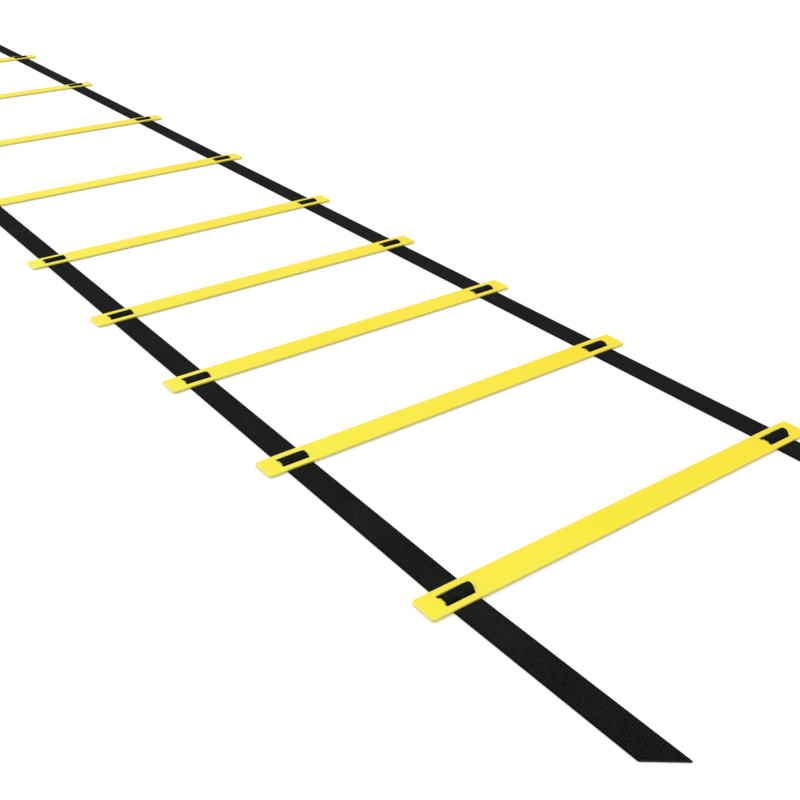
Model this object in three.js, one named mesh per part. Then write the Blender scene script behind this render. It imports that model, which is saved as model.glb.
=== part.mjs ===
// Agility ladder: flat plastic rungs threaded on two runs of webbing, laid out flat on the ground.
// Units are millimetres. +X runs along the rungs, +Y runs along the ladder, away from its near end,
// and +Z is up. The origin is on the ground under the middle of the ladder.
import * as THREE from "three";

// Rungs: flat moulded strips with two pairs of slots.
const RUNG_LENGTH = 430;
const RUNG_WIDTH = 26;
const RUNG_THICKNESS = 2;
const RUNG_CORNER_RADIUS = 2.5;
const RUNG_EDGE_CHAMFER = 0.35;

// Each strap is woven under one edge of a rung, up a slot, over the bridge, and down the other slot.
const BRIDGE_WIDTH = 6.8;
const SLOT_SIDE_CLEARANCE = 0.6;
const SLOT_CORNER_RADIUS = 1.1;
const SLOT_PASS_CLEARANCE = 0.42;
const END_TAB = 17.4;
const CLIMB_ANGLE_DEG = 60;
const NEAR_LOOP_RISE = 3;
const LOOP_RISE = 2;
const LOOP_BEND_RADIUS = 2.9;

// Straps: woven webbing in one unbroken length each, with both ends cut aslant. The left one's near
// tail lies a little to the right of the rest of it.
const WEBBING_WIDTH = 26;
const WEBBING_THICKNESS = 1.3;
const NEAR_TAIL = 192;
const FAR_TAIL = 192;
const END_CUT_SLANT = 20;
const LEFT_TAIL_DRIFT = 6;
const first_rung_drift_share = 0.8;

// The rungs slide along the straps, so the bays between them differ. One share per bay, near to far.
const BAY_LENGTH = 250;
const bay_shares = [0.9, 0.73, 0.73, 0.8, 1.02, 1.17, 1.255, 1.27, 1.24, 1.24, 1.24];

// How finely round corners are stepped, in counts.
const CORNER_STEPS = 2;
const BEND_STEPS = 3;
const LOOP_STEPS = 4;

// Sizes that follow from the ones above.
const climbAngle = THREE.MathUtils.degToRad(CLIMB_ANGLE_DEG);
const seatHeight = WEBBING_THICKNESS;
const bridgeTop = seatHeight + RUNG_THICKNESS;
const webbingCut = WEBBING_THICKNESS / Math.sin(climbAngle);
const climbRun = RUNG_THICKNESS / Math.tan(climbAngle);
const slotWidth = webbingCut + climbRun + 2 * SLOT_PASS_CLEARANCE;
const slotLength = WEBBING_WIDTH + 2 * SLOT_SIDE_CLEARANCE;
const slotOffset = BRIDGE_WIDTH / 2 + slotWidth / 2;
const strapOffset = RUNG_LENGTH / 2 - END_TAB - slotLength / 2;
const bays = bay_shares.map((share) => share * BAY_LENGTH);
const ladderLength = bays.reduce((sum, bay) => sum + bay, NEAR_TAIL + FAR_TAIL);
const nearEnd = -ladderLength / 2;

// Where each rung's middle lies along the ladder.
function rungPlaces() {
  const places = [nearEnd + NEAR_TAIL];
  for (const bay of bays) places.push(places.at(-1) + bay);
  return places;
}

// A rectangle with round corners, centred on a point, drawn anticlockwise on a Shape or a Path.
function roundedRectangle(path, x, y, length, width, radius) {
  const r = Math.min(radius, length / 2, width / 2);
  const right = x + length / 2;
  const left = x - length / 2;
  const top = y + width / 2;
  const bottom = y - width / 2;
  const quarter = Math.PI / 2;
  path.moveTo(left + r, bottom);
  path.lineTo(right - r, bottom);
  path.absarc(right - r, bottom + r, r, -quarter, 0, false);
  path.lineTo(right, top - r);
  path.absarc(right - r, top - r, r, 0, quarter, false);
  path.lineTo(left + r, top);
  path.absarc(left + r, top - r, r, quarter, 2 * quarter, false);
  path.lineTo(left, bottom + r);
  path.absarc(left + r, bottom + r, r, 2 * quarter, 3 * quarter, false);
  return path;
}

// A rung's solid, lying flat with its underside at height zero and its middle over the origin.
function rungGeometry() {
  const outline = roundedRectangle(
    new THREE.Shape(), 0, 0, RUNG_LENGTH, RUNG_WIDTH, RUNG_CORNER_RADIUS,
  );
  for (const x of [-strapOffset, strapOffset]) {
    for (const y of [-slotOffset, slotOffset]) {
      outline.holes.push(
        roundedRectangle(new THREE.Path(), x, y, slotLength, slotWidth, SLOT_CORNER_RADIUS),
      );
    }
  }
  const geometry = new THREE.ExtrudeGeometry(outline, {
    depth: RUNG_THICKNESS - 2 * RUNG_EDGE_CHAMFER,
    curveSegments: CORNER_STEPS,
    bevelEnabled: true,
    bevelThickness: RUNG_EDGE_CHAMFER,
    bevelSize: RUNG_EDGE_CHAMFER,
    bevelOffset: -RUNG_EDGE_CHAMFER,
    bevelSegments: 1,
  });
  return geometry.translate(0, 0, RUNG_EDGE_CHAMFER);
}

// Unit direction and left-hand normal of a path that runs at an angle above the ground.
const direction = (angle) => new THREE.Vector2(Math.cos(angle), Math.sin(angle));
const normal = (angle) => new THREE.Vector2(-Math.sin(angle), Math.cos(angle));

// One bend of the webbing's middle line: points with their normals, round a corner of that line.
function bendPoints(corner, angleIn, angleOut, radius, steps) {
  const turn = angleOut - angleIn;
  const side = Math.sign(turn);
  const tangent = radius * Math.tan(Math.abs(turn) / 2);
  const start = corner.clone().addScaledVector(direction(angleIn), -tangent);
  const centre = start.addScaledVector(normal(angleIn), side * radius);
  const points = [];
  for (let step = 0; step <= steps; step += 1) {
    const angle = angleIn + (turn * step) / steps;
    const out = normal(angle);
    const place = centre.clone().addScaledVector(out, -side * radius);
    points.push({ place, out });
  }
  return points;
}

// The webbing's middle line over one rung: up a slot, in a loop over the bridge, and down the other
// slot. The loop stands highest on the first rung, where the webbing is pushed together most.
function crossingPoints(middle, index) {
  const low = WEBBING_THICKNESS / 2;
  const lowRadius = SLOT_PASS_CLEARANCE + WEBBING_THICKNESS / 2;
  const climb = Math.tan(climbAngle);
  const reach = BRIDGE_WIDTH / 2 + SLOT_PASS_CLEARANCE + webbingCut / 2;
  const lowReach = reach + (bridgeTop - low) / climb;
  const rise = index === 0 ? NEAR_LOOP_RISE : LOOP_RISE;
  const crest = bridgeTop + rise - WEBBING_THICKNESS / 2;
  const topReach = reach - (crest - bridgeTop) / climb;
  const bend = (x, z, angleIn, angleOut, radius, steps) =>
    bendPoints(new THREE.Vector2(middle + x, z), angleIn, angleOut, radius, steps);
  return [
    ...bend(-lowReach, low, 0, climbAngle, lowRadius, BEND_STEPS),
    ...bend(-topReach, crest, climbAngle, 0, LOOP_BEND_RADIUS, LOOP_STEPS),
    ...bend(topReach, crest, 0, -climbAngle, LOOP_BEND_RADIUS, LOOP_STEPS),
    ...bend(lowReach, low, -climbAngle, 0, lowRadius, BEND_STEPS),
  ];
}

// How far a strap lies to the right of its straight run, at a place along the ladder.
function driftAt(y, tailDrift) {
  const firstRung = nearEnd + NEAR_TAIL;
  const threaded = RUNG_WIDTH / 2;
  const inSlot = first_rung_drift_share * SLOT_SIDE_CLEARANCE;
  if (y > firstRung + threaded) return 0;
  if (y > firstRung - threaded) return inSlot;
  return tailDrift;
}

// A strap's solid: its side profile along the ladder, extruded across the webbing's width, with both
// ends cut aslant.
function strapGeometry(tailDrift) {
  const flat = normal(0);
  const low = WEBBING_THICKNESS / 2;
  const line = [
    { place: new THREE.Vector2(nearEnd, low), out: flat },
    ...rungPlaces().flatMap(crossingPoints),
    { place: new THREE.Vector2(nearEnd + ladderLength, low), out: flat },
  ];
  const shifted = (side) => line.map(({ place, out }) => place.clone().addScaledVector(out, side));
  const upper = shifted(WEBBING_THICKNESS / 2);
  const lower = shifted(-WEBBING_THICKNESS / 2);
  const profile = new THREE.Shape([...lower, ...upper.reverse()]);
  const geometry = new THREE.ExtrudeGeometry(profile, {
    depth: WEBBING_WIDTH,
    bevelEnabled: false,
  });
  geometry.translate(0, 0, -WEBBING_WIDTH / 2);
  const spots = geometry.getAttribute("position");
  const lastBend = ladderLength / 2 - FAR_TAIL / 2;
  const firstBend = nearEnd + NEAR_TAIL / 2;
  for (let index = 0; index < spots.count; index += 1) {
    const along = spots.getX(index);
    const across = spots.getZ(index);
    const atEnd = along < firstBend || along > lastBend;
    if (atEnd) spots.setX(index, along - (across * END_CUT_SLANT) / WEBBING_WIDTH);
    spots.setZ(index, across + driftAt(along, tailDrift));
  }
  return geometry;
}

// The profile is drawn with X along the ladder and Y up, so a strap is turned into the ladder's frame.
function strapMesh(name, x, geometry, material) {
  const mesh = new THREE.Mesh(geometry, material);
  mesh.name = name;
  const turn = new THREE.Matrix4().makeBasis(
    new THREE.Vector3(0, 1, 0),
    new THREE.Vector3(0, 0, 1),
    new THREE.Vector3(1, 0, 0),
  );
  mesh.quaternion.setFromRotationMatrix(turn);
  mesh.position.x = x;
  return mesh;
}

function rungMesh(number, y, geometry, material) {
  const mesh = new THREE.Mesh(geometry, material);
  mesh.name = `rung_${String(number).padStart(2, "0")}`;
  mesh.position.set(0, y, seatHeight);
  return mesh;
}

const webbing = () =>
  new THREE.MeshStandardMaterial({ color: 0x191a19, roughness: 0.85, metalness: 0 });
const plastic = () =>
  new THREE.MeshStandardMaterial({ color: 0xfae83c, roughness: 0.42, metalness: 0 });

const straps = new THREE.Group();
straps.name = "straps";
straps.add(strapMesh("strap_left", -strapOffset, strapGeometry(LEFT_TAIL_DRIFT), webbing()));
straps.add(strapMesh("strap_right", strapOffset, strapGeometry(0), webbing()));

const rungs = new THREE.Group();
rungs.name = "rungs";
const rungSolid = rungGeometry();
rungPlaces().forEach((y, index) => rungs.add(rungMesh(index + 1, y, rungSolid, plastic())));

const group = new THREE.Group();
group.name = "agility_ladder";
group.add(straps, rungs);

export default group;
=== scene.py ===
"""Agility ladder laid out flat: moulded rungs threaded on two straps of woven webbing.

Sizes are in metres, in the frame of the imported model: +X runs along the rungs, +Y runs along the
ladder away from its near end, and +Z is up.
"""

import logging
import math
from dataclasses import dataclass, field
from enum import Enum

import bmesh
import bpy
from bpy.types import Material, Mesh, Node, NodeOutputs, NodeTree, Object
from bpy.types import NodeSocket as Socket
from mathutils import Matrix, Vector
from mathutils.geometry import tessellate_polygon


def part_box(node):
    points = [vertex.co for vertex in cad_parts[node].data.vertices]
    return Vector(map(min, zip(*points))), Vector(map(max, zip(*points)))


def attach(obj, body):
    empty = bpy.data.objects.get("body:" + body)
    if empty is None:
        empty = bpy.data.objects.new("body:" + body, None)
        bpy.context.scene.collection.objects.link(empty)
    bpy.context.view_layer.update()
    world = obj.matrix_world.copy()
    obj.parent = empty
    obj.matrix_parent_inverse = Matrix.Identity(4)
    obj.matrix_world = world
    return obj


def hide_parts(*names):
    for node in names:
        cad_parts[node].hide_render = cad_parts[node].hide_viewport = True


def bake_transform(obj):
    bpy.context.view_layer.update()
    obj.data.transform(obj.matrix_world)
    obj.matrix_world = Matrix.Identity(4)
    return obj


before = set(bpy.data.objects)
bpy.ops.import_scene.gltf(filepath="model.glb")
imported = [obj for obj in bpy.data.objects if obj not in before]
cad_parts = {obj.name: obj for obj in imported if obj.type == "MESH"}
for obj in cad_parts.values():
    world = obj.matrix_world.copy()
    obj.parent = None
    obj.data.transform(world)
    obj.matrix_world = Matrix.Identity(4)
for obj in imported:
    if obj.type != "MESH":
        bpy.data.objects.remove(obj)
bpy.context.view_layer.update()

LOG = logging.getLogger("agility_ladder")

Value = Socket | float
Colour = tuple[float, float, float]
Point = tuple[float, float, float]
Span = tuple[float, float]

STRAPS = "straps"
WEAVE = "weave"
# Name of the mask of a painted highlight along the rungs' rounded top edges.
HIGHLIGHT_RIM = "rim"
SMALLEST_RADIUS = 0.00001


class Labelled(Enum):
    """A choice whose word is part of piece names."""

    @property
    def label(self) -> str:
        """The choice's word in piece names."""
        return self.name.lower()


class Side(Labelled):
    """The two straps, seen from the near end, with the sign of their place along X."""

    LEFT = -1
    RIGHT = 1

    @property
    def node(self) -> str:
        """The name of the strap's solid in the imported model."""
        return f"strap_{self.label}"


class End(Labelled):
    """The two ends of the ladder, with the sign of their direction along Y."""

    NEAR = -1
    FAR = 1


def rung_name(number: int) -> str:
    """The name of a rung's solid, which is its body's name too."""
    return f"rung_{number:02d}"


def rung_middle(number: int) -> float:
    """Where a rung's middle lies along the ladder."""
    low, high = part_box(rung_name(number))
    return (low[1] + high[1]) / 2


# Node building


@dataclass
class Graph:
    """A node tree, with short ways to add nodes to it and to join them."""

    tree: NodeTree

    def add(self, kind: str, inputs: dict | None = None, **settings: object) -> Node:
        """Adds a node.

        Args:
            kind: The node's type name.
            inputs: What its inputs get, by their names or numbers.
            **settings: Properties set on the node.

        Returns:
            The new node.
        """
        node = self.tree.nodes.new(kind)
        for name, value in settings.items():
            setattr(node, name, value)
        for key, value in (inputs or {}).items():
            self.feed(node.inputs[key], value)
        return node

    def feed(self, socket: Socket, value: object) -> None:
        """Joins a socket to an output socket, or sets it to a plain value.

        Args:
            socket: The input socket.
            value: An output socket, a number, a colour or a vector.
        """
        if isinstance(value, Socket):
            self.tree.links.new(value, socket)
        else:
            socket.default_value = value

    def math(self, operation: str, *values: Value) -> Socket:
        """The result of a Math node with these inputs, in their order."""
        node = self.add("ShaderNodeMath", dict(enumerate(values)), operation=operation)
        return node.outputs[0]

    def plus(self, first: Value, second: Value) -> Socket:
        """The sum of two values."""
        return self.math("ADD", first, second)

    def times(self, first: Value, second: Value) -> Socket:
        """The product of two values."""
        return self.math("MULTIPLY", first, second)

    def remap(self, value: Value, span: Span, to: Span = (0.0, 1.0)) -> Socket:
        """Maps a value from one span to another, held at its ends.

        Args:
            value: The value to map.
            span: Its lowest and highest value.
            to: What these two become.

        Returns:
            The mapped value.
        """
        inputs = dict(enumerate((value, *span, *to)))
        return self.add("ShaderNodeMapRange", inputs).outputs["Result"]

    def split(self, vector: Socket) -> NodeOutputs:
        """The X, Y and Z of a vector, as a node's outputs."""
        return self.add("ShaderNodeSeparateXYZ", {0: vector}).outputs

    def join(self, **parts: Value) -> Socket:
        """A vector of X, Y and Z, each 0 where it is left out."""
        return self.add("ShaderNodeCombineXYZ", parts).outputs[0]

    def seen(self) -> Socket:
        """Tells what is seen from what only lights a surface.

        Returns:
            1 for what the camera sees, itself or in gloss or glass, and 0 for other light.
        """
        rays = self.add("ShaderNodeLightPath").outputs
        mirrored = self.math("MAXIMUM", rays["Is Glossy Ray"], rays["Is Transmission Ray"])
        return self.math("MAXIMUM", rays["Is Camera Ray"], mirrored)

    def vector(self, operation: str, first: Socket, second: object) -> Socket:
        """Adds a Vector Math node of two inputs.

        Args:
            operation: What the node does.
            first: The first vector.
            second: The second vector, or the scale where the operation is SCALE.

        Returns:
            The result.
        """
        last = "Scale" if operation == "SCALE" else 1
        node = self.add("ShaderNodeVectorMath", {0: first, last: second}, operation=operation)
        return node.outputs["Vector"]

    def noise(self, place: Socket, scale: Value, detail: float, rough: float = 0.5) -> Socket:
        """Adds a Noise Texture.

        Args:
            place: Where it is read.
            scale: How many features fit into a metre, roughly.
            detail: How many finer layers it has.
            rough: How strong the finer layers are.

        Returns:
            Its value, about 0.3 to 0.7.
        """
        inputs = {"Vector": place, "Scale": scale, "Detail": detail, "Roughness": rough}
        return self.add("ShaderNodeTexNoise", inputs).outputs["Fac"]

    def blend(self, share: Value, first: Socket | Colour, second: Socket | Colour) -> Socket:
        """Mixes two colours.

        Args:
            share: How much of the second colour there is.
            first: The first colour.
            second: The second colour.

        Returns:
            The mixed colour.
        """
        first, second = ((*c, 1.0) if isinstance(c, tuple) else c for c in (first, second))
        node = self.add("ShaderNodeMix", {0: share, 6: first, 7: second}, data_type="RGBA")
        return node.outputs[2]

    def close(self, outputs: dict[str, Socket]) -> NodeTree:
        """Ends a shader group.

        Args:
            outputs: What it gives, by name, all of them plain values.

        Returns:
            The group.
        """
        for name in outputs:
            self.tree.interface.new_socket(name, in_out="OUTPUT", socket_type="NodeSocketFloat")
        self.add("NodeGroupOutput", outputs)
        return self.tree


def shader_group(name: str, inputs: dict[str, float | None]) -> tuple[Graph, NodeOutputs]:
    """Starts a shader group.

    Args:
        name: The group's name.
        inputs: Its inputs with their usual values; None makes a vector input.

    Returns:
        The group's graph, and what it is given.
    """
    tree = bpy.data.node_groups.new(name, "ShaderNodeTree")
    for label, usual in inputs.items():
        kind = "NodeSocketVector" if usual is None else "NodeSocketFloat"
        socket = tree.interface.new_socket(label, in_out="INPUT", socket_type=kind)
        if usual is not None:
            socket.default_value = usual
    graph = Graph(tree)
    return graph, graph.add("NodeGroupInput").outputs


# Shared effects


class Effects:
    """Surface effects that several finishes use, each a shader group that is built once."""

    def __init__(self) -> None:
        """Builds all the groups."""
        self.drift = self._colour_drift()
        self.grain = self._fine_grain()
        self.dust = self._settled_dust()
        self.weave = self._weave_relief()

    @staticmethod
    def _colour_drift() -> NodeTree:
        """Builds slow, cloudy changes of colour from batch and light.

        Returns:
            A group that gives 0 to 1.
        """
        g, given = shader_group(
            "slow_colour_drift", {"Place": None, "Patch Size": 0.1, "Shift": 0.0}
        )
        moved = g.vector("ADD", given["Place"], given["Shift"])
        clouds = g.noise(moved, g.math("DIVIDE", 1.0, given["Patch Size"]), 2.0)
        return g.close({"Drift": g.remap(clouds, (0.32, 0.68))})

    @staticmethod
    def _fine_grain() -> NodeTree:
        """Builds the fine matt grain of a moulded or a melted surface.

        Returns:
            A group that gives a height and a speckle, both 0 to 1.
        """
        g, given = shader_group("fine_grain", {"Place": None, "Grain Size": 0.0004})
        scale = g.math("DIVIDE", 1.0, given["Grain Size"])
        cells = {"Vector": given["Place"], "Scale": scale}
        pits = g.add("ShaderNodeTexVoronoi", cells, feature="SMOOTH_F1").outputs["Distance"]
        cloudy = g.noise(given["Place"], g.times(scale, 0.6), 3.0, 0.6)
        height = g.plus(g.times(pits, 0.6), g.times(cloudy, 0.5))
        return g.close({"Height": height, "Speckle": g.remap(cloudy, (0.35, 0.65))})

    @staticmethod
    def _settled_dust() -> NodeTree:
        """Builds the thin dust that settles on surfaces that face up.

        Returns:
            A group that gives a mask from 0 to 1.
        """
        g, given = shader_group("settled_dust", {"Place": None, "Upward": 1.0, "Amount": 0.1})
        patches = g.remap(g.noise(given["Place"], 14.0, 4.0, 0.65), (0.42, 0.72))
        specks = g.remap(g.noise(given["Place"], 900.0, 1.0), (0.6, 0.74))
        up = g.remap(given["Upward"], (0.2, 0.95))
        both = g.times(g.plus(patches, specks), given["Amount"])
        return g.close({"Mask": g.times(both, up)})

    @staticmethod
    def _weave_relief() -> NodeTree:
        """Builds the yarns of flat webbing: rows of short stitches that run across it.

        Every other column slants the other way and is set a little further on, which gives the
        fine chevrons of such webbing.

        Returns:
            A group that gives a height, a mask of painted shade between the yarns, a value for each
            stitch and a mask of the woven edges.
        """
        g, given = shader_group("weave_relief", {
            "Across": 0.0, "Along": 0.0, "Column": 0.0013, "Stitch": 0.002, "Half Width": 0.013,
        })
        columns = g.math("DIVIDE", given["Across"], given["Column"])
        number = g.math("FLOOR", columns)
        side = g.math("FRACT", columns)
        odd = g.math("FLOORED_MODULO", number, 2.0)
        slant = g.times(g.math("SUBTRACT", g.times(odd, 2.0), 1.0), 0.28)
        turned = g.times(g.math("SUBTRACT", side, 0.5), slant)
        rows = g.plus(g.math("DIVIDE", given["Along"], given["Stitch"]),
                      g.plus(turned, g.times(odd, 0.1)))
        step = g.math("FRACT", rows)
        crown = g.math("SINE", g.times(side, math.pi))
        swell = g.math("SINE", g.times(step, math.pi))
        yarn = g.math("POWER", g.math("MAXIMUM", crown, 0.0), 0.6)
        stitch = g.math("POWER", g.math("MAXIMUM", swell, 0.0), 0.7)
        body = g.times(yarn, g.plus(0.3, g.times(stitch, 0.7)))
        place = g.join(X=number, Y=g.math("FLOOR", rows))
        chance = g.add("ShaderNodeTexWhiteNoise", {0: place}, noise_dimensions="2D")
        out = g.math("DIVIDE", g.math("ABSOLUTE", given["Across"]), given["Half Width"])
        return g.close({
            "Height": body,
            # The mask of painted shade between the yarns.
            "Gap": g.remap(body, (0.42, 0.98), (1.0, 0.0)),
            "Stitch Value": chance.outputs["Value"],
            "Edge": g.remap(out, (0.86, 0.99)),
        })


# Finishes


@dataclass(frozen=True)
class Finish:
    """What all finishes share: a name, a gloss, and a Principled surface to dress."""

    name: str
    gloss: float = 0.0

    def start(self) -> tuple[Material, Graph, Node, Socket]:
        """Makes a plain material with the finish's gloss.

        Returns:
            The material, its graph, its Principled BSDF and the object coordinates.
        """
        material = bpy.data.materials.new(self.name)
        material.use_nodes = True
        graph = Graph(material.node_tree)
        surface = material.node_tree.nodes["Principled BSDF"]
        surface.inputs["Specular IOR Level"].default_value = self.gloss
        place = graph.add("ShaderNodeTexCoord").outputs["Object"]
        return material, graph, surface, place

    @staticmethod
    def effect(graph: Graph, tree: NodeTree, **values: object) -> Node:
        """Places a shared effect in a material.

        Args:
            graph: The material's graph.
            tree: The effect's group.
            **values: Its inputs, with underscores for spaces.

        Returns:
            The group node.
        """
        inputs = {name.replace("_", " "): value for name, value in values.items()}
        return graph.add("ShaderNodeGroup", inputs, node_tree=tree)

    @staticmethod
    def raise_surface(graph: Graph, surface: Node, height: Socket, depth: float) -> None:
        """Gives a surface a bump.

        Args:
            graph: The material's graph.
            surface: The Principled BSDF.
            height: The height, 0 to 1.
            depth: What a height of 1 stands for, in metres.
        """
        bump = graph.add("ShaderNodeBump", {"Distance": depth, "Height": height})
        graph.feed(surface.inputs["Normal"], bump.outputs["Normal"])


@dataclass(frozen=True)
class MouldedPlastic(Finish):
    """Lemon yellow moulded plastic with a satin skin, with painted light that is paler to the left
    and warmer to the right, and a painted highlight along its edges.
    """

    lemon: Colour = (0.925, 0.838, 0.053)
    amber: Colour = (0.925, 0.725, 0.002)
    # Pale yellow of the painted edge highlight, and of the real scuffs.
    rubbed: Colour = (0.97, 0.95, 0.34)
    rub_scale: float = 260.0
    rub_span: Span = (0.45, 0.95)
    dust: Colour = (0.88, 0.86, 0.72)
    dusting: float = 0.022
    dust_matt: float = 0.5
    # Share of the colour that is a painted light gradient along the rung, rather than random drift.
    warming: float = 0.7
    scuffing: float = 0.26
    scuff_matt: float = 0.16
    scuff_depth: float = 0.8
    scuff_turn: float = 0.14
    scuff_scale: Point = (28.0, 1900.0, 60.0)
    patch_size: float = 0.16
    grain_size: float = 0.00045
    grain_depth: float = 0.000012
    sink_scale: float = 55.0
    sink_depth: float = 4.0
    satin: Span = (0.36, 0.47)
    gloss: float = 0.14
    half_length: float = 0.215

    def make(self, effects: Effects) -> Material:
        """Builds the material.

        Args:
            effects: The shared surface effects.

        Returns:
            The material.
        """
        material, g, surface, place = self.start()
        drift = self.effect(g, effects.drift, Place=place, Patch_Size=self.patch_size)
        grain = self.effect(g, effects.grain, Place=place, Grain_Size=self.grain_size)
        # Painted highlight: a pale rim where the rounded top edges would catch the light.
        rim = g.add("ShaderNodeAttribute", attribute_name=HIGHLIGHT_RIM).outputs["Fac"]
        up = g.split(g.add("ShaderNodeNewGeometry").outputs["Normal"])["Z"]
        dust = self.effect(g, effects.dust, Place=place, Upward=up, Amount=self.dusting)
        ends = (-self.half_length, self.half_length)
        # Painted light: the colour slides from lemon at the left end to amber at the right, as if
        # the lamp lit the left ends; the rest is random drift.
        slow = g.remap(g.split(place)["X"], ends, (0.0, self.warming))
        cloudy = g.times(drift.outputs["Drift"], 1.0 - self.warming)
        tone_and_painted_light = g.plus(slow, cloudy)
        base = g.blend(tone_and_painted_light, self.lemon, self.amber)
        uneven_highlight = g.remap(g.noise(place, self.rub_scale, 3.0, 0.6), (0.3, 0.6), self.rub_span)
        # Painted highlight along the edges, broken up by noise.
        base = g.blend(g.times(rim, uneven_highlight), base, self.rubbed)
        scuffs = self._scuffs(g, place)
        base = g.blend(g.times(scuffs, self.scuffing), base, self.rubbed)
        g.feed(surface.inputs["Base Color"], g.blend(dust.outputs["Mask"], base, self.dust))
        matt = g.remap(grain.outputs["Speckle"], (0.0, 1.0), self.satin)
        matt = g.plus(matt, g.times(scuffs, self.scuff_matt))
        matt = g.plus(matt, g.times(dust.outputs["Mask"], self.dust_matt))
        g.feed(surface.inputs["Roughness"], matt)
        sink = g.noise(place, self.sink_scale, 1.0)
        relief = g.plus(grain.outputs["Height"], g.times(sink, self.sink_depth))
        relief = g.math("SUBTRACT", relief, g.times(scuffs, self.scuff_depth))
        self.raise_surface(g, surface, relief, self.grain_depth)
        return material

    def _scuffs(self, g: Graph, place: Socket) -> Socket:
        """Builds faint scratches that run mostly along the rungs.

        Args:
            g: The material's graph.
            place: The object coordinates.

        Returns:
            A mask from 0 to 1.
        """
        turn = (0.0, 0.0, self.scuff_turn)
        inputs = {"Vector": place, "Rotation": turn, "Scale": self.scuff_scale}
        lean = g.add("ShaderNodeMapping", inputs)
        lines = g.remap(g.noise(lean.outputs[0], 1.0, 2.0, 0.4), (0.63, 0.72))
        where = g.remap(g.noise(place, 30.0, 2.0), (0.48, 0.62))
        return g.times(lines, where)


@dataclass(frozen=True)
class WovenWebbing(Finish):
    """Black woven webbing: matt yarns with a slight sheen on their crowns, and painted shade in the
    gaps between them and along its edges.
    """

    crown: Colour = (0.0350, 0.0402, 0.0330)
    yarn: Colour = (0.0150, 0.0172, 0.0140)
    # Colour of the painted shade between the yarns and along the edges.
    gap: Colour = (0.0004, 0.0004, 0.0004)
    dust: Colour = (0.16, 0.155, 0.14)
    dusting: float = 0.012
    chance: float = 0.65
    # How dark the painted shade between the yarns gets.
    depth: float = 0.98
    edge_shade: float = 0.45
    column: float = 0.0013
    stitch: float = 0.00205
    patch_size: float = 0.05
    patch_shift: float = 3.0
    fibre_size: float = 0.00025
    fibre_height: float = 0.12
    fibre_matt: float = 0.06
    relief: float = 0.00024
    matt: Span = (0.95, 0.68)
    gloss: float = 0.015

    def make(self, effects: Effects) -> Material:
        """Builds the material.

        Args:
            effects: The shared surface effects.

        Returns:
            The material.
        """
        material, g, surface, place = self.start()
        run = g.split(g.add("ShaderNodeAttribute", attribute_name=WEAVE).outputs["Vector"])
        weave = self.effect(g, effects.weave, Across=run["X"], Along=run["Y"],
                            Column=self.column, Stitch=self.stitch)
        drift = self.effect(g, effects.drift, Place=place, Patch_Size=self.patch_size,
                            Shift=self.patch_shift)
        grain = self.effect(g, effects.grain, Place=place, Grain_Size=self.fibre_size)
        up = g.split(g.add("ShaderNodeNewGeometry").outputs["Normal"])["Z"]
        dust = self.effect(g, effects.dust, Place=place, Upward=up, Amount=self.dusting)
        lift = g.times(weave.outputs["Stitch Value"], self.chance)
        lift = g.plus(lift, g.times(drift.outputs["Drift"], 1.0 - self.chance))
        base = g.blend(lift, self.yarn, self.crown)
        # Painted shade in the gaps between yarns, where the relief is too shallow to shade itself.
        base = g.blend(g.times(weave.outputs["Gap"], self.depth), base, self.gap)
        # Painted shade along the woven edges.
        base = g.blend(g.times(weave.outputs["Edge"], self.edge_shade), base, self.gap)
        g.feed(surface.inputs["Base Color"], g.blend(dust.outputs["Mask"], base, self.dust))
        matt = g.remap(weave.outputs["Height"], (0.0, 1.0), self.matt)
        matt = g.plus(matt, g.times(grain.outputs["Speckle"], self.fibre_matt))
        g.feed(surface.inputs["Roughness"], matt)
        fibres = g.times(grain.outputs["Height"], self.fibre_height)
        self.raise_surface(g, surface, g.plus(weave.outputs["Height"], fibres), self.relief)
        return material


@dataclass(frozen=True)
class FusedWebbing(Finish):
    """The ends of the webbing where a hot cut has melted the yarns together."""

    shiny: Colour = (0.006, 0.006, 0.006)
    scorched: Colour = (0.012, 0.011, 0.010)
    scorching: float = 0.8
    patch_size: float = 0.004
    grain_size: float = 0.0006
    rib_trace: float = 0.3
    relief: float = 0.00015
    matt: Span = (0.42, 0.62)
    gloss: float = 0.12

    def make(self, effects: Effects) -> Material:
        """Builds the material.

        Args:
            effects: The shared surface effects.

        Returns:
            The material.
        """
        material, g, surface, place = self.start()
        grain = self.effect(g, effects.grain, Place=place, Grain_Size=self.grain_size)
        drift = self.effect(g, effects.drift, Place=place, Patch_Size=self.patch_size)
        run = g.split(place)
        weave = self.effect(g, effects.weave, Across=run["X"], Along=run["Y"])
        share = g.times(drift.outputs["Drift"], self.scorching)
        g.feed(surface.inputs["Base Color"], g.blend(share, self.shiny, self.scorched))
        rough = g.remap(grain.outputs["Speckle"], (0.0, 1.0), self.matt)
        g.feed(surface.inputs["Roughness"], rough)
        traces = g.times(weave.outputs["Height"], self.rib_trace)
        lumps = g.plus(grain.outputs["Height"], traces)
        self.raise_surface(g, surface, lumps, self.relief)
        return material


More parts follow.
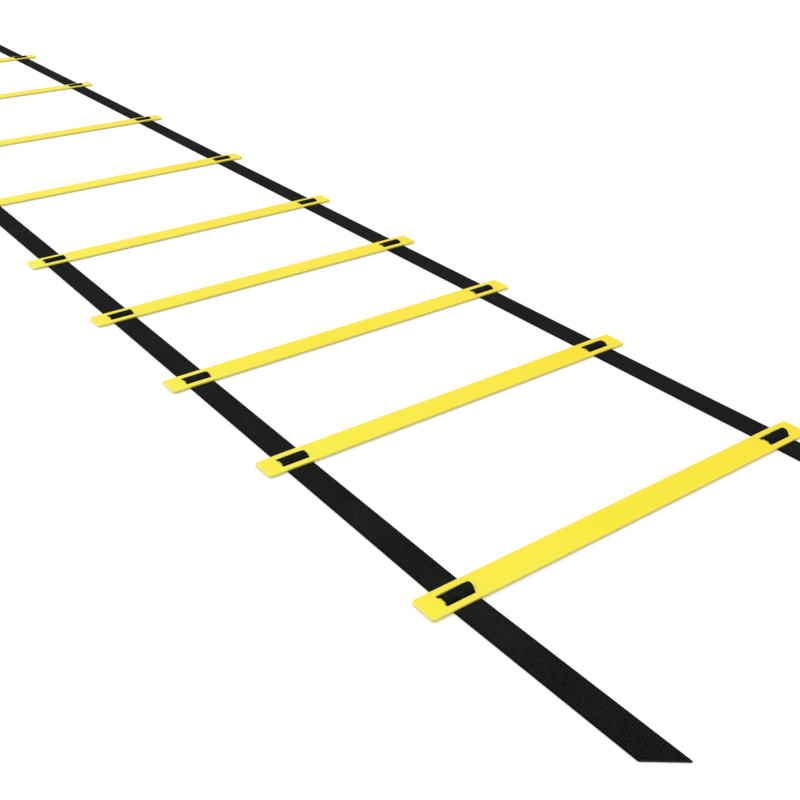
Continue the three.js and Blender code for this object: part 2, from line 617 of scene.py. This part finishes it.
@dataclass(frozen=True)
class StudioFloor(Finish):
    """White studio floor that keeps shadows and is white where the camera sees it lit."""

    colour: Colour = (0.80, 0.80, 0.80)
    mottled: Colour = (0.776, 0.776, 0.776)
    cloud_scale: float = 3.0
    matt: float = 0.9
    lift: float = 0.24

    def make(self) -> Material:
        """Builds the material.

        Returns:
            The material.
        """
        material, g, surface, place = self.start()
        clouds = g.remap(g.noise(place, self.cloud_scale, 3.0), (0.3, 0.7))
        g.feed(surface.inputs["Base Color"], g.blend(clouds, self.mottled, self.colour))
        surface.inputs["Roughness"].default_value = self.matt
        surface.inputs["Emission Color"].default_value = (1.0, 1.0, 1.0, 1.0)
        g.feed(surface.inputs["Emission Strength"], g.times(g.seen(), self.lift))
        return material


@dataclass(frozen=True)
class Palette:
    """All the materials of the ladder."""

    plastic: Material
    webbing: Material
    fused: Material


# Pieces


def link_mesh(name: str, mesh: Mesh) -> Object:
    """Puts a mesh into the scene as an object at the origin.

    Args:
        name: The piece's name.
        mesh: Its mesh, in the ladder's frame.

    Returns:
        The object.
    """
    mesh.name = name
    piece = bpy.data.objects.new(name, mesh)
    bpy.context.scene.collection.objects.link(piece)
    return piece


@dataclass(frozen=True)
class RoundedOutline:
    """A rectangle with round corners in the plane of a rung, walked anticlockwise."""

    x: float
    y: float
    length: float
    width: float
    radius: float

    def points(self, grow: float, steps: int) -> list[tuple[Vector, Vector]]:
        """Walks the outline.

        Args:
            grow: How far it is moved outwards.
            steps: How many segments each corner has.

        Returns:
            Each point with the direction that points out of the rectangle there.
        """
        radius = max(self.radius + grow, SMALLEST_RADIUS)
        reach = (self.length / 2 + grow - radius, self.width / 2 + grow - radius)
        walked = []
        for corner, (sx, sy) in enumerate(((1, 1), (-1, 1), (-1, -1), (1, -1))):
            for step in range(steps + 1):
                angle = math.pi / 2 * (corner + step / steps)
                out = Vector((math.cos(angle), math.sin(angle)))
                middle = Vector((self.x + sx * reach[0], self.y + sy * reach[1]))
                walked.append((middle + out * radius, out))
        return walked


@dataclass
class Rung:
    """One moulded rung: a flat strip with two slots and the bridge between them at each end."""

    number: int
    slot_length: float = 0.0272
    slot_width: float = 0.003496
    slot_corner: float = 0.0011
    slot_offset: float = 0.005148
    strap_offset: float = 0.184
    corner: float = 0.0025
    top_rounding: float = 0.00055
    slot_rounding: float = 0.0009
    underside_rounding: float = 0.0003
    corner_steps: int = 8
    rounding_steps: int = 5

    def outlines(self) -> list[tuple[RoundedOutline, int]]:
        """The strip's outline and its slots.

        Returns:
            Each outline, with 1 for the outside of the strip and -1 for a slot.
        """
        low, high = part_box(rung_name(self.number))
        middle = rung_middle(self.number)
        strip = RoundedOutline(0.0, middle, high[0] - low[0], high[1] - low[1], self.corner)
        found = [(strip, 1)]
        for side in Side:
            for row in (-1, 1):
                x, y = side.value * self.strap_offset, middle + row * self.slot_offset
                slot = RoundedOutline(x, y, self.slot_length, self.slot_width, self.slot_corner)
                found.append((slot, -1))
        return found

    def profile(self, rounding: float) -> list[tuple[float, float, float, float]]:
        """An edge from the rung's top to its underside.

        Args:
            rounding: The radius of its upper corner.

        Returns:
            For each ring its inset, height, and the two shares of its normal: out and up.
        """
        low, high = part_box(rung_name(self.number))
        turns = [math.pi / 2 * n / self.rounding_steps for n in range(self.rounding_steps + 1)]
        rows = []
        for r, edge, facing in ((rounding, high[2], 1), (self.underside_rounding, low[2], -1)):
            for turn in turns[::facing]:
                out, up = math.sin(turn), facing * math.cos(turn)
                rows.append((r * (1 - out), edge - r * (facing - up), out, up))
        return rows

    def mesh(self) -> Mesh:
        """Builds the rung as one closed skin with rounded edges.

        Returns:
            The mesh, with a rim attribute, the mask of a painted highlight, that is 1 midway round
            its top edges.
        """
        spots: list[Point] = []
        normals: list[Point] = []
        highlight_rims: list[float] = []
        faces: list[tuple[int, ...]] = []
        top: list[list[int]] = []
        bottom: list[list[int]] = []
        for outline, sign in self.outlines():
            rings = []
            rounding = self.top_rounding if sign > 0 else self.slot_rounding
            for inset, height, out, up in self.profile(rounding):
                ring = []
                for point, away in outline.points(-sign * inset, self.corner_steps):
                    ring.append(len(spots))
                    spots.append((point.x, point.y, height))
                    normals.append((away.x * sign * out, away.y * sign * out, up))
                    # Mask of a painted highlight, strongest halfway round the top rounding.
                    highlight_rims.append(max(0.0, 2.0 * out * up))
                rings.append(ring)
            for upper, lower in zip(rings, rings[1:]):
                for a, b, c, d in zip(upper, lower, lower[1:] + lower[:1], upper[1:] + upper[:1]):
                    faces.append((a, b, c, d) if sign > 0 else (d, c, b, a))
            top.append(rings[0])
            bottom.append(rings[-1])
        faces += self._cap(spots, top, 1) + self._cap(spots, bottom, -1)
        mesh = bpy.data.meshes.new(rung_name(self.number))
        mesh.from_pydata(spots, [], faces)
        mesh.shade_smooth()
        mesh.normals_split_custom_set_from_vertices(normals)
        rim = mesh.attributes.new(HIGHLIGHT_RIM, "FLOAT", "POINT")
        rim.data.foreach_set("value", highlight_rims)
        return mesh

    @staticmethod
    def _cap(spots: list[Point], rings: list[list[int]], facing: int) -> list[tuple[int, ...]]:
        """Closes the top or the underside, leaving the slots open.

        Args:
            spots: All points so far.
            rings: The outer ring and the slots' rings, as indices.
            facing: 1 for a face that looks up, -1 for one that looks down.

        Returns:
            The triangles.
        """
        flat = [index for ring in rings for index in ring]
        loops = [[Vector((spots[i][0], spots[i][1], 0.0)) for i in ring] for ring in rings]
        closed = []
        for a, b, c in tessellate_polygon(loops):
            p, q, r = (Vector(spots[flat[n]]) for n in (a, b, c))
            turned = (q - p).cross(r - p).z * facing < 0
            closed.append((flat[c], flat[b], flat[a]) if turned else (flat[a], flat[b], flat[c]))
        return closed

    def build(self, palette: Palette) -> Object:
        """Builds and dresses the rung, and lets it ride on its own body.

        Args:
            palette: The ladder's materials.

        Returns:
            The rung's object.
        """
        piece = link_mesh(f"moulded_rung_{self.number:02d}", self.mesh())
        piece.data.materials.append(palette.plastic)
        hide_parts(rung_name(self.number))
        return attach(piece, rung_name(self.number))


# Webbing


class WebbingLoom:
    """Geometry nodes that weave webbing along a guide line, rib by rib."""

    SECTION_POINTS = 24
    FACE_SQUARENESS = 0.6
    CREASE_ANGLE = 0.95
    LEAN_PEAK = 4.0
    SIZES = {
        "Width": 0.026,
        "Thickness": 0.0013,
        "Edge Squareness": 0.2,
        "Rib Height": 0.00006,
        "Ribs": 10,
        "Points Per Rib": 5,
        "Rib Pitch": 0.002,
        "Along Start": 0.0,
        "Lean": 0.0,
        "Finish": None,
    }

    def __init__(self) -> None:
        """Builds the node tree."""
        self.tree = bpy.data.node_groups.new("webbing_loom", "GeometryNodeTree")
        face = self.tree.interface
        face.new_socket("Guide", in_out="INPUT", socket_type="NodeSocketGeometry")
        self.sockets = {}
        for name, usual in self.SIZES.items():
            kind = "Material" if usual is None else type(usual).__name__.title()
            socket = face.new_socket(name, in_out="INPUT", socket_type=f"NodeSocket{kind}")
            if usual is not None:
                socket.default_value = usual
            self.sockets[name] = socket.identifier
        face.new_socket("Webbing", in_out="OUTPUT", socket_type="NodeSocketGeometry")
        self.g = Graph(self.tree)
        self.given = self.g.add("NodeGroupInput").outputs
        self._build()

    def _section(self) -> tuple[Socket, Socket]:
        """Builds the webbing's cross-section: a flat band with full, rounded edges.

        Returns:
            The section's curve and how far each point lies to the right.
        """
        g, given = self.g, self.given
        ring = g.add("GeometryNodeCurvePrimitiveCircle",
                     {"Resolution": self.SECTION_POINTS, "Radius": 1.0})
        place = g.split(g.add("GeometryNodeInputPosition").outputs[0])
        across = self._squared(place["X"], given["Edge Squareness"])
        up = self._squared(place["Y"], self.FACE_SQUARENESS)
        wide = g.times(across, g.times(given["Width"], 0.5))
        thick = g.math("SUBTRACT", g.times(given["Thickness"], 0.5), given["Rib Height"])
        place = g.join(X=wide, Y=g.times(up, thick))
        shaped = g.add("GeometryNodeSetPosition", {0: ring.outputs["Curve"], "Position": place})
        kept = g.add("GeometryNodeCaptureAttribute", domain="POINT")
        kept.capture_items.new("FLOAT", "Across")
        g.feed(kept.inputs["Geometry"], shaped.outputs["Geometry"])
        now = g.split(g.add("GeometryNodeInputPosition").outputs[0])
        g.feed(kept.inputs["Across"], now["X"])
        return kept.outputs["Geometry"], kept.outputs["Across"]

    def _squared(self, value: Socket, power: Value) -> Socket:
        """Raises the size of a value to a power and keeps its sign."""
        g = self.g
        size = g.math("POWER", g.math("ABSOLUTE", value), power)
        return g.times(size, g.math("SIGN", value))

    def _build(self) -> None:
        """Joins guide, section and ribs into the webbing's surface."""
        g, given = self.g, self.given
        line = g.add("GeometryNodeMeshToCurve", {0: given["Guide"]}).outputs["Curve"]
        count = g.plus(g.times(given["Ribs"], given["Points Per Rib"]), 1.0)
        even = g.add("GeometryNodeResampleCurve", {0: line, "Count": count}).outputs["Curve"]
        upright = g.add("GeometryNodeSetCurveNormal", {0: even}, mode="Z_UP")
        run = g.add("GeometryNodeSplineParameter")
        kept = g.add("GeometryNodeCaptureAttribute", domain="POINT")
        kept.capture_items.new("FLOAT", "Share")
        g.feed(kept.inputs["Geometry"], upright.outputs["Curve"])
        g.feed(kept.inputs["Share"], run.outputs["Factor"])
        section, across = self._section()
        woven = g.add("GeometryNodeCurveToMesh", {
            0: kept.outputs["Geometry"], "Profile Curve": section, "Fill Caps": True,
        })
        passed = g.times(kept.outputs["Share"], given["Ribs"])
        turns = g.math("COSINE", g.times(passed, math.tau))
        rise = g.times(g.math("SUBTRACT", 1.0, turns), 0.5)
        push = g.times(rise, given["Rib Height"])
        normal = g.add("GeometryNodeInputNormal").outputs[0]
        half_turn = g.math("SINE", g.times(kept.outputs["Share"], math.pi))
        leaning = g.times(g.math("POWER", half_turn, self.LEAN_PEAK), given["Lean"])
        tilt = g.math("DIVIDE", across, g.times(given["Width"], 0.5))
        raised = g.join(Z=g.times(tilt, leaning))
        moved = g.vector("ADD", g.vector("SCALE", normal, push), raised)
        ribbed = g.add("GeometryNodeSetPosition", {0: woven.outputs["Mesh"], "Offset": moved})
        along = g.plus(g.times(passed, given["Rib Pitch"]), given["Along Start"])
        noted = g.add("GeometryNodeStoreNamedAttribute", {
            0: ribbed.outputs["Geometry"], "Name": WEAVE, "Value": g.join(X=across, Y=along),
        }, data_type="FLOAT_VECTOR", domain="POINT")
        edge = g.add("GeometryNodeInputMeshEdgeAngle").outputs["Unsigned Angle"]
        sharp = g.add("GeometryNodeSetShadeSmooth", {
            0: noted.outputs["Geometry"], "Shade Smooth": False,
            "Selection": g.math("GREATER_THAN", edge, self.CREASE_ANGLE),
        }, domain="EDGE")
        whole = g.add("GeometryNodeRealizeInstances", {0: sharp.outputs[0]})
        dressed = g.add("GeometryNodeSetMaterial", {
            0: whole.outputs["Geometry"], "Material": given["Finish"],
        })
        g.add("NodeGroupOutput", {"Webbing": dressed.outputs["Geometry"]})

    def weave(self, name: str, path: list[Point], **sizes: object) -> Mesh:
        """Weaves one length of webbing.

        Args:
            name: The mesh's name.
            path: The points that its middle line follows.
            **sizes: The tree's inputs, with underscores for spaces.

        Returns:
            A plain mesh.
        """
        guide = bpy.data.meshes.new(f"{name}_guide")
        guide.from_pydata(path, [(n, n + 1) for n in range(len(path) - 1)], [])
        holder = link_mesh(f"{name}_guide", guide)
        modifier = holder.modifiers.new("loom", "NODES")
        modifier.node_group = self.tree
        for label, value in sizes.items():
            modifier[self.sockets[label.replace("_", " ")]] = value
        ready = holder.evaluated_get(bpy.context.evaluated_depsgraph_get())
        mesh = bpy.data.meshes.new_from_object(ready)
        holder.modifiers.clear()
        bpy.data.objects.remove(holder)
        bpy.data.meshes.remove(guide)
        mesh.name = name
        return mesh


@dataclass(frozen=True)
class Threading:
    """How the webbing runs through a rung: up a slot, over the bridge, down the other slot."""

    thickness: float = 0.0013
    rung_thickness: float = 0.002
    bridge_width: float = 0.0068
    clearance: float = 0.00042
    climb: float = math.radians(60)
    rise: float = 0.002
    near_rise: float = 0.003
    lean: float = 0.0003
    near_lean: float = 0.0015
    loop_bend: float = 0.0029
    half_run: float = 0.0076
    bend_steps: int = 8
    loop_steps: int = 14

    def bend(self, corner: Vector, turn_in: float, turn_out: float, radius: float,
             steps: int) -> list[Vector]:
        """Rounds one corner of the middle line.

        Args:
            corner: The corner, as run and height.
            turn_in: The line's angle before the corner.
            turn_out: The line's angle after it.
            radius: The bend's radius.
            steps: How many segments it has.

        Returns:
            The points of the bend.
        """
        turn = turn_out - turn_in
        side = math.copysign(1.0, turn)
        start = corner - Vector((math.cos(turn_in), math.sin(turn_in))) * (
            radius * math.tan(abs(turn) / 2))
        middle = start + Vector((-math.sin(turn_in), math.cos(turn_in))) * side * radius
        angles = (turn_in + turn * step / steps for step in range(steps + 1))
        return [middle - Vector((-math.sin(a), math.cos(a))) * side * radius for a in angles]

    def leaning(self, number: int) -> float:
        """How much higher a loop's right edge stands than its middle."""
        return self.near_lean if number == 1 else self.lean

    def line(self, number: int) -> list[Vector]:
        """The middle line of the webbing over one rung.

        Args:
            number: The rung's number.

        Returns:
            Its points, as run from the rung's middle and height.
        """
        low = self.thickness / 2
        top = self.thickness + self.rung_thickness
        cut = self.thickness / math.sin(self.climb)
        reach = self.bridge_width / 2 + self.clearance + cut / 2
        low_reach = reach + (top - low) / math.tan(self.climb)
        crest = top + (self.near_rise if number == 1 else self.rise) - low
        top_reach = reach - (crest - top) / math.tan(self.climb)
        slot_bend = (self.clearance + low, self.bend_steps)
        loop_bend = (self.loop_bend, self.loop_steps)
        return [
            Vector((-self.half_run, low)),
            *self.bend(Vector((-low_reach, low)), 0.0, self.climb, *slot_bend),
            *self.bend(Vector((-top_reach, crest)), self.climb, 0.0, *loop_bend),
            *self.bend(Vector((top_reach, crest)), 0.0, -self.climb, *loop_bend),
            *self.bend(Vector((low_reach, low)), -self.climb, 0.0, *slot_bend),
            Vector((self.half_run, low)),
        ]


@dataclass
class Strap:
    """One strap: a single run of webbing, threaded through every rung, with hot-cut slanting ends.

    It is made in lengths that meet edge to edge, so that the loops can travel with the rungs.
    """

    side: Side
    loom: WebbingLoom
    palette: Palette
    rung_places: list[float]
    offset: float = 0.184
    width: float = 0.026
    rib_pitch: float = 0.00205
    first_rib: float = -2.0
    bead_width: float = 0.0013
    bead_thickness_share: float = 0.98
    bead_inset: float = 0.0004
    bead_lumps: int = 14
    bead_lump_height: float = 0.00008
    bead_squareness: float = 0.85
    tail: float = 0.192
    slant: float = 0.020
    tail_drift: float = 0.006
    first_drift: float = 0.00048
    threading: Threading = field(default_factory=Threading)

    def drift(self, number: int) -> float:
        """How far the strap lies to the right of its straight run at a rung."""
        return self.first_drift if number == 1 else 0.0

    def end_drift(self, end: End) -> float:
        """How far the strap lies to the right of its straight run at one end."""
        return self.tail_drift if (end, self.side) == (End.NEAR, Side.LEFT) else 0.0

    def at(self, drift: float, y: float, z: float | None = None) -> Point:
        """A point of the middle line."""
        height = self.threading.thickness / 2 if z is None else z
        return (self.side.value * self.offset + drift, y, height)

    def length(self, name: str, path: list[Point], lean: float = 0.0) -> Object:
        """Weaves one length of the strap and hides the strap's imported solid.

        Args:
            name: The piece's name.
            path: The points that its middle line follows.
            lean: How much higher its right edge stands halfway along.

        Returns:
            The piece.
        """
        run = sum((Vector(b) - Vector(a)).length for a, b in zip(path, path[1:]))
        mesh = self.loom.weave(
            name, path, Width=self.width, Thickness=self.threading.thickness,
            Ribs=max(1, round(run / self.rib_pitch)), Rib_Pitch=self.rib_pitch,
            Along_Start=round((path[0][1] - self.first_rib) / self.rib_pitch) * self.rib_pitch,
            Lean=lean, Finish=self.palette.webbing,
        )
        piece = link_mesh(name, mesh)
        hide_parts(self.side.node)
        return piece

    def build_loops(self) -> None:
        """Builds the loops over the bridges, each of which travels with its rung."""
        for number, place in enumerate(self.rung_places, 1):
            line = self.threading.line(number)
            path = [self.at(self.drift(number), place + p.x, p.y) for p in line]
            name = f"webbing_loop_{self.side.label}_{number:02d}"
            piece = self.length(name, path, self.threading.leaning(number))
            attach(piece, rung_name(number))

    def build_bays(self) -> None:
        """Builds the flat webbing between neighbouring rungs, in two halves for each bay."""
        half = self.threading.half_run
        for number, (near, far) in enumerate(zip(self.rung_places, self.rung_places[1:]), 1):
            start, stop = near + half, far - half
            middle = (start + stop) / 2
            drift = (self.drift(number) + self.drift(number + 1)) / 2
            name = f"webbing_bay_{self.side.label}_{number:02d}"
            piece = self.length(f"{name}_near",
                                [self.at(self.drift(number), start), self.at(drift, middle)])
            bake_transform(piece)
            piece = self.length(f"{name}_far",
                                [self.at(drift, middle), self.at(self.drift(number + 1), stop)])
            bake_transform(piece)

    def cut_line(self, end: End) -> tuple[Vector, Vector]:
        """Where the strap's end is cut.

        Args:
            end: Which end.

        Returns:
            The middle of the cut and the direction along it, to the right.
        """
        rung = self.rung_places[0 if end is End.NEAR else -1]
        middle = Vector(self.at(self.end_drift(end), rung + end.value * self.tail))
        return middle, Vector((self.width, -self.slant, 0.0)).normalized()

    def build_tail(self, end: End) -> None:
        """Builds the loose end of the strap beyond the last rung, cut aslant.

        Args:
            end: Which end.
        """
        number = 1 if end is End.NEAR else len(self.rung_places)
        rung = self.rung_places[number - 1]
        join = Vector(self.at(self.drift(number), rung + end.value * self.threading.half_run))
        middle, along = self.cut_line(end)
        spare = (middle - join) * (1 + (self.slant / 2 + self.rib_pitch) / (middle - join).length)
        path = [tuple(join + spare), tuple(join)]
        if end is End.FAR:
            path.reverse()
        piece = self.length(f"webbing_tail_{self.side.label}_{end.label}", path)
        outward = Vector((0, 0, 1)).cross(along) * end.value
        self._trim(piece.data, middle, outward)
        if end is End.NEAR:
            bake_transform(piece)
        else:
            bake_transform(piece)

    @staticmethod
    def _trim(mesh: Mesh, middle: Vector, outward: Vector) -> None:
        """Cuts the webbing off along a line and closes the cut.

        Args:
            mesh: The length of webbing.
            middle: A point of the cut.
            outward: The direction of the part that falls off.
        """
        work = bmesh.new()
        work.from_mesh(mesh)
        everything = [*work.verts, *work.edges, *work.faces]
        cut = bmesh.ops.bisect_plane(work, geom=everything, plane_co=middle, plane_no=outward,
                                     clear_outer=True)
        rim = [part for part in cut["geom_cut"] if isinstance(part, bmesh.types.BMEdge)]
        for edge in rim:
            edge.smooth = False
        bmesh.ops.edgeloop_fill(work, edges=rim)
        bmesh.ops.recalc_face_normals(work, faces=work.faces)
        work.to_mesh(mesh)
        work.free()

    def build_seal(self, end: End) -> None:
        """Builds the thin melted bead along the strap's cut end.

        Args:
            end: Which end.
        """
        middle, along = self.cut_line(end)
        reach = math.hypot(self.width, self.slant) / 2 - self.bead_inset
        path = [tuple(middle - along * reach), tuple(middle + along * reach)]
        name = f"fused_end_{self.side.label}_{end.label}"
        mesh = self.loom.weave(
            name, path, Width=self.bead_width,
            Thickness=self.threading.thickness * self.bead_thickness_share,
            Edge_Squareness=self.bead_squareness, Rib_Height=self.bead_lump_height,
            Ribs=self.bead_lumps, Finish=self.palette.fused,
        )
        piece = link_mesh(name, mesh)
        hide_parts(self.side.node)
        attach(piece, STRAPS)

    def build(self) -> None:
        """Builds the whole strap."""
        self.build_loops()
        self.build_bays()
        for end in End:
            self.build_tail(end)
            self.build_seal(end)


# Studio


@dataclass(frozen=True)
class Studio:
    """A plain white floor under plain, soft, even light."""

    floor_size: float = 60.0
    sky: float = 0.71
    key: float = 1.1
    key_spread: float = math.radians(70)
    key_turn: Point = (math.radians(-10), math.radians(-22), 0.0)
    floor_drop: float = 0.00002

    def build(self) -> None:
        """Builds the floor, the lamp and the surrounding light."""
        half = self.floor_size / 2
        mesh = bpy.data.meshes.new("studio_floor")
        corners = ((-half, -half), (half, -half), (half, half), (-half, half))
        mesh.from_pydata([(x, y, -self.floor_drop) for x, y in corners], [], [(0, 1, 2, 3)])
        mesh.materials.append(StudioFloor("studio_floor_white").make())
        link_mesh("studio_floor", mesh)
        lamp = bpy.data.lights.new("soft_key_lamp", "SUN")
        lamp.energy, lamp.angle = self.key, self.key_spread
        holder = bpy.data.objects.new("soft_key_lamp", lamp)
        holder.rotation_euler = self.key_turn
        bpy.context.scene.collection.objects.link(holder)
        self._surroundings()

    def _surroundings(self) -> None:
        """Builds the world: even light, and plain white where it is seen or mirrored."""
        world = bpy.data.worlds.new("studio_surroundings")
        world.use_nodes = True
        bpy.context.scene.world = world
        g = Graph(world.node_tree)
        sky = world.node_tree.nodes["Background"]
        sky.inputs["Color"].default_value = (1.0, 1.0, 1.0, 1.0)
        g.feed(sky.inputs["Strength"], g.remap(g.seen(), (0.0, 1.0), (self.sky, 1.0)))


@dataclass(frozen=True)
class Camera:
    """The camera at the photograph's viewing angle, placed from the first rung's middle."""

    yaw: float = math.radians(36.4365)
    pitch: float = math.radians(29.4876)
    roll: float = math.radians(-0.1443)
    place: Point = (-0.57513, -0.46121, 0.50492)
    focal_pixels: float = 1070.26
    image_side: int = 800
    sensor: float = 36.0
    clip: Span = (0.02, 200.0)

    def build(self) -> None:
        """Makes the camera and makes it the scene's own."""
        turn = (Matrix.Rotation(-self.yaw, 4, "Z")
                @ Matrix.Rotation(math.pi / 2 - self.pitch, 4, "X")
                @ Matrix.Rotation(-self.roll, 4, "Z"))
        data = bpy.data.cameras.new("camera")
        data.sensor_width = self.sensor
        data.lens = self.focal_pixels / self.image_side * self.sensor
        data.clip_start, data.clip_end = self.clip
        camera = bpy.data.objects.new("camera", data)
        spot = Vector(self.place) + Vector((0.0, rung_middle(1), 0.0))
        camera.matrix_world = Matrix.Translation(spot) @ turn
        bpy.context.scene.collection.objects.link(camera)
        bpy.context.scene.camera = camera


def main() -> None:
    """Builds the ladder, the studio and the camera."""
    logging.basicConfig(level=logging.INFO, format="%(message)s")
    bpy.context.scene.view_settings.view_transform = "Standard"
    effects = Effects()
    palette = Palette(
        MouldedPlastic("lemon_moulded_plastic").make(effects),
        WovenWebbing("black_woven_webbing").make(effects),
        FusedWebbing("fused_webbing_end").make(effects),
    )
    numbers = range(1, 1 + sum(name.startswith("rung_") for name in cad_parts))
    for number in numbers:
        rung = Rung(number).build(palette)
        LOG.info("%s: %d faces", rung.name, len(rung.data.polygons))
    loom = WebbingLoom()
    places = [rung_middle(number) for number in numbers]
    for side in Side:
        Strap(side, loom, palette, places).build()
        LOG.info("strap %s: woven through %d rungs", side.label, len(places))
    Studio().build()
    Camera().build()
    LOG.info("studio and camera are set")


if __name__ == "__main__":
    main()
